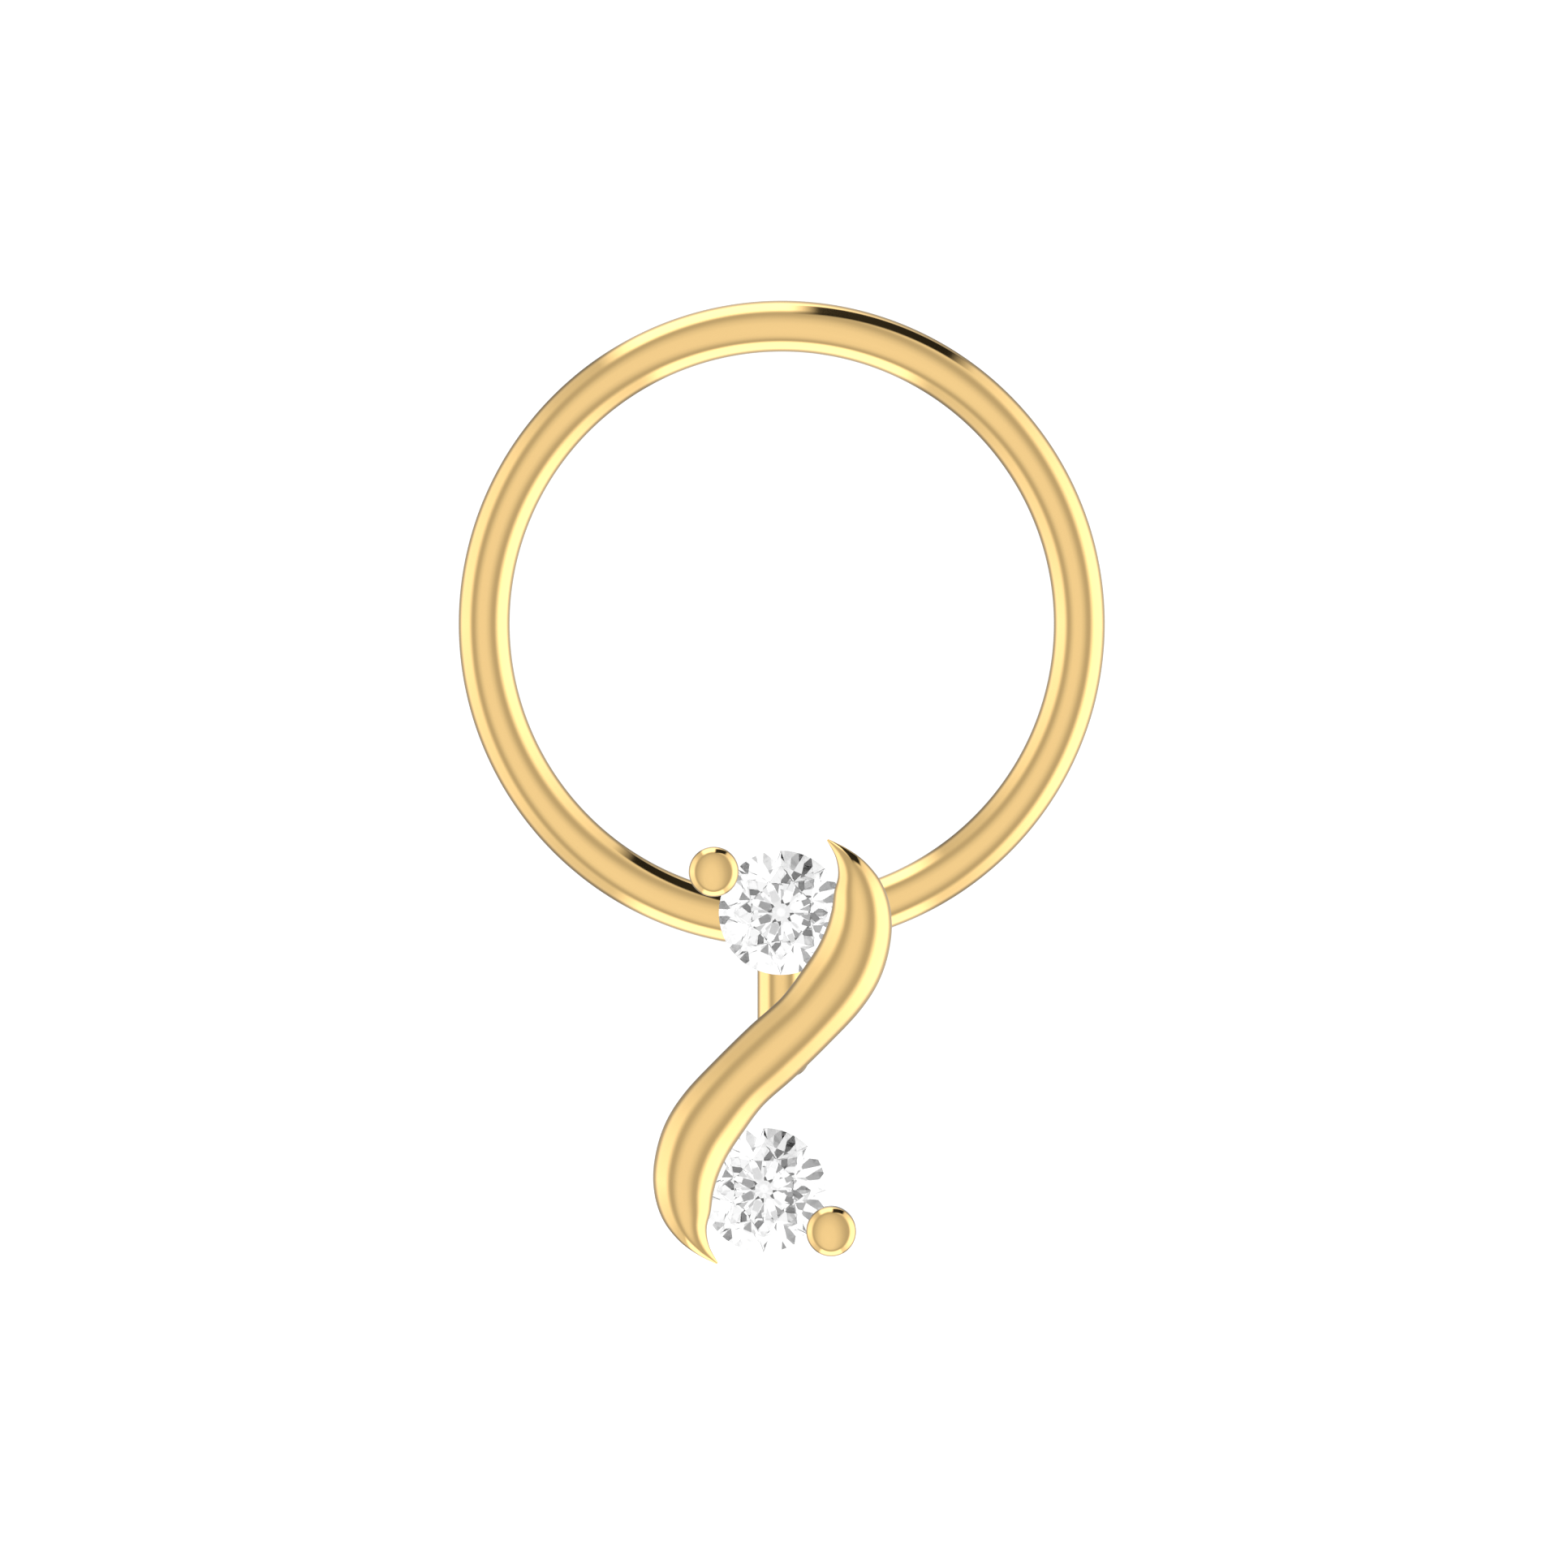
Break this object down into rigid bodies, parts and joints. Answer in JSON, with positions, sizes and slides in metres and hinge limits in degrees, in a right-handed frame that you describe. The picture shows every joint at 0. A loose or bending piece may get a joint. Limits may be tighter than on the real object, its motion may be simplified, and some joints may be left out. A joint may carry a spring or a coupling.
{
  "type": "nose ring",
  "caption": "Round wire hoop nose ring with an S-shaped domed ribbon at the front that holds round brilliants, each against one domed prong.",
  "frame": {"origin": "middle of the base of the bounding box, with the ring lying on its back", "axes": "+Z out of the ring's front, +Y from the ribbon's lower tip to the top of the hoop, +X to the wearer's left as the picture shows the ring"},
  "size_m": [0.0102, 0.0152, 0.0024],
  "materials": {
    "yellow_gold": "18 carat yellow gold, cast, soldered and mirror polished",
    "clear_stone": "colourless round brilliant, polished facets"
  },
  "bodies": {
    "root": {"gold_frame": "yellow_gold", "upper_stone": "clear_stone", "lower_stone": "clear_stone"}
  },
  "joints": []
}
